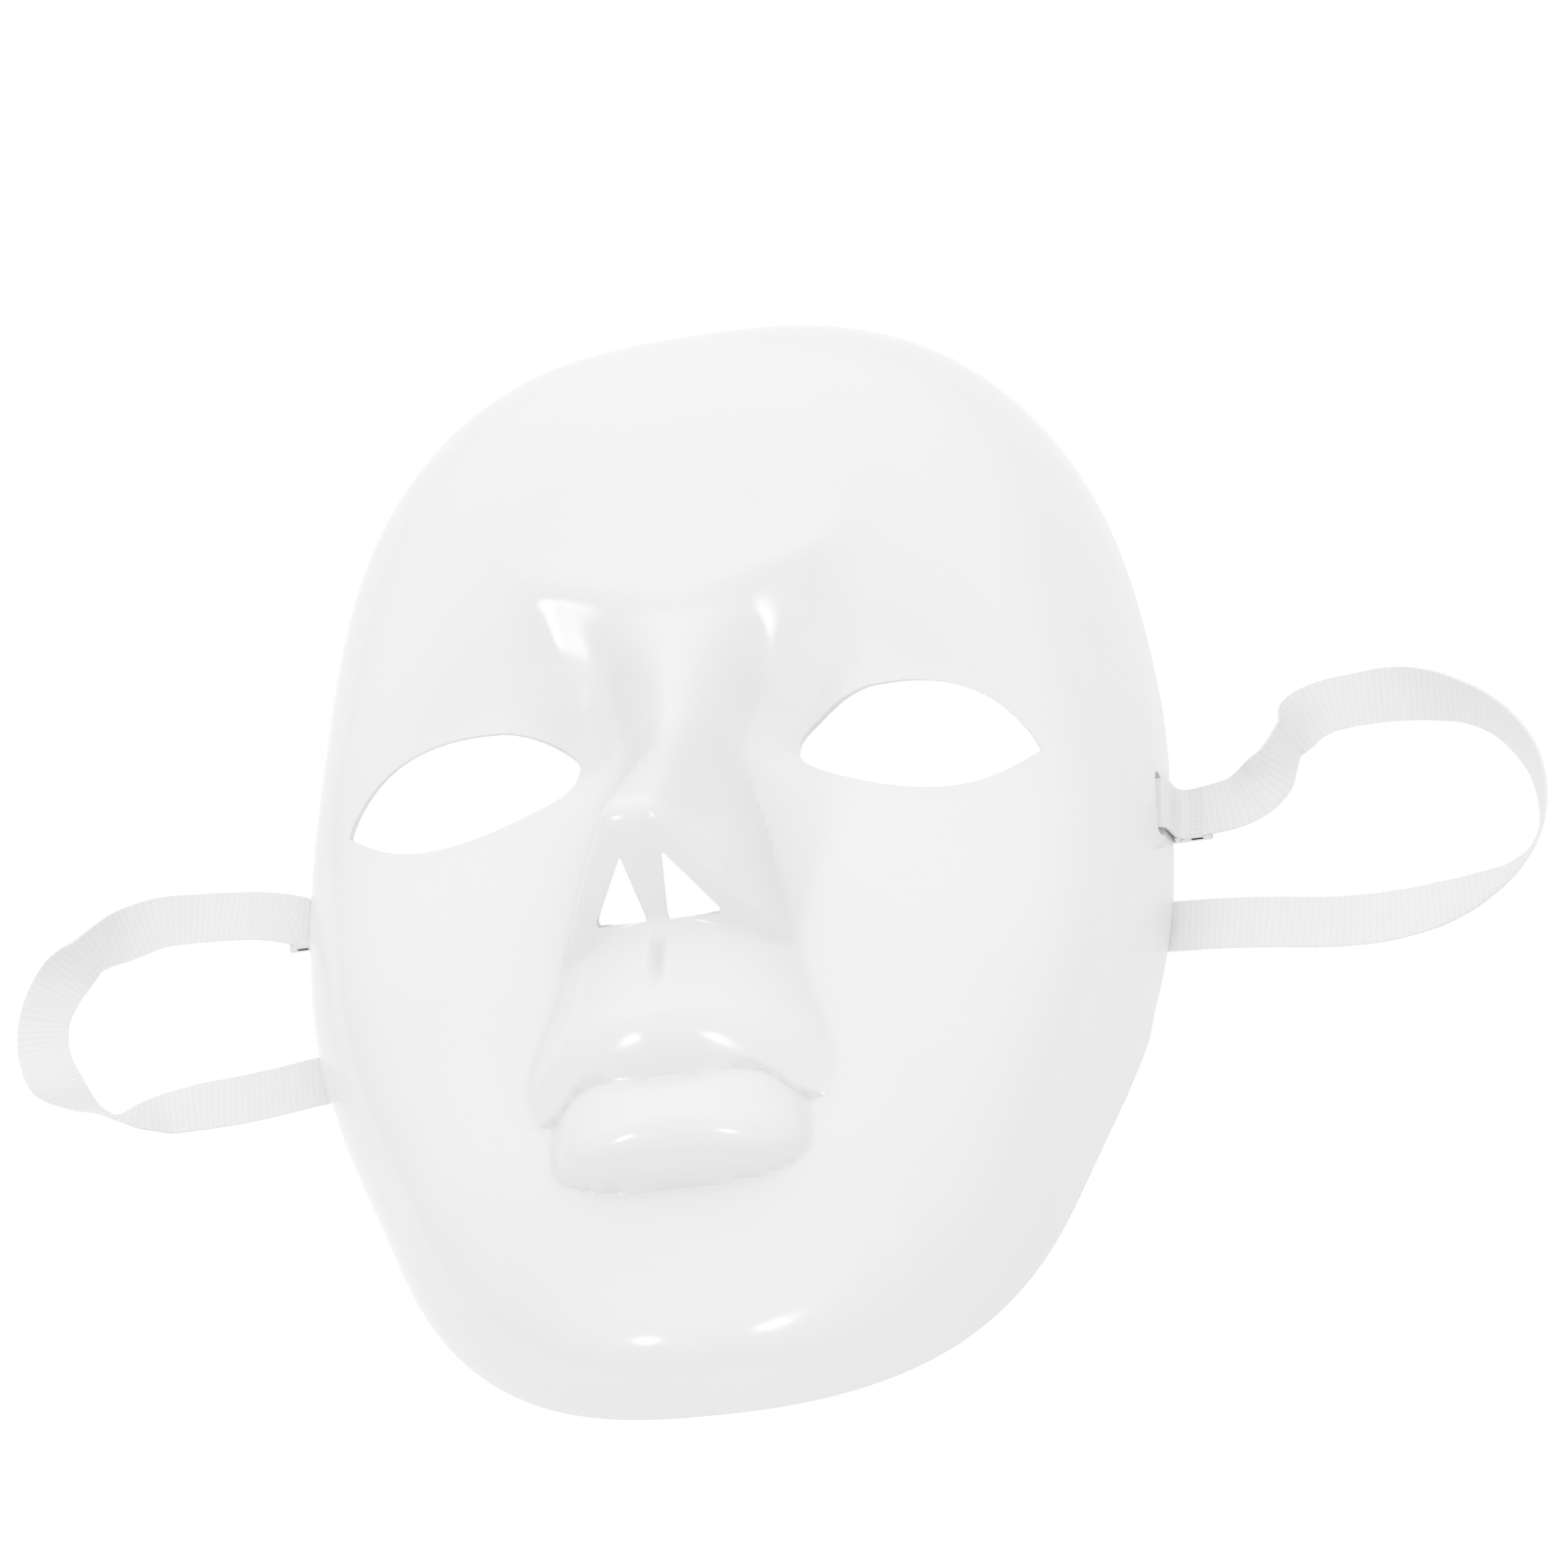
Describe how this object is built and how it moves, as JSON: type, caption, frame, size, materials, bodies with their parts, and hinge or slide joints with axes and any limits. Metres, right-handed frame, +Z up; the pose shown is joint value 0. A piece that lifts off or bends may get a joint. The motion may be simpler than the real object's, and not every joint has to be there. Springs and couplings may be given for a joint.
{
  "type": "full face mask",
  "caption": "Plain white moulded full face mask with almond eye holes, nostril holes, closed lips and a flat ribbon tie looped through a slot at each side.",
  "frame": {"origin": "bottom centre of the mask as it lies face up on its rim, measured without the ribbons", "axes": "+Z up out of the face, +Y towards the forehead, +X across the face"},
  "size_m": [0.3015, 0.214, 0.0666],
  "materials": {
    "shell": "smooth glossy white moulded plastic",
    "ribbon": "fine white woven satin ribbon"
  },
  "bodies": {
    "root": {"mask_shell": "shell", "ribbon_right": "ribbon", "ribbon_left": "ribbon"}
  },
  "joints": []
}
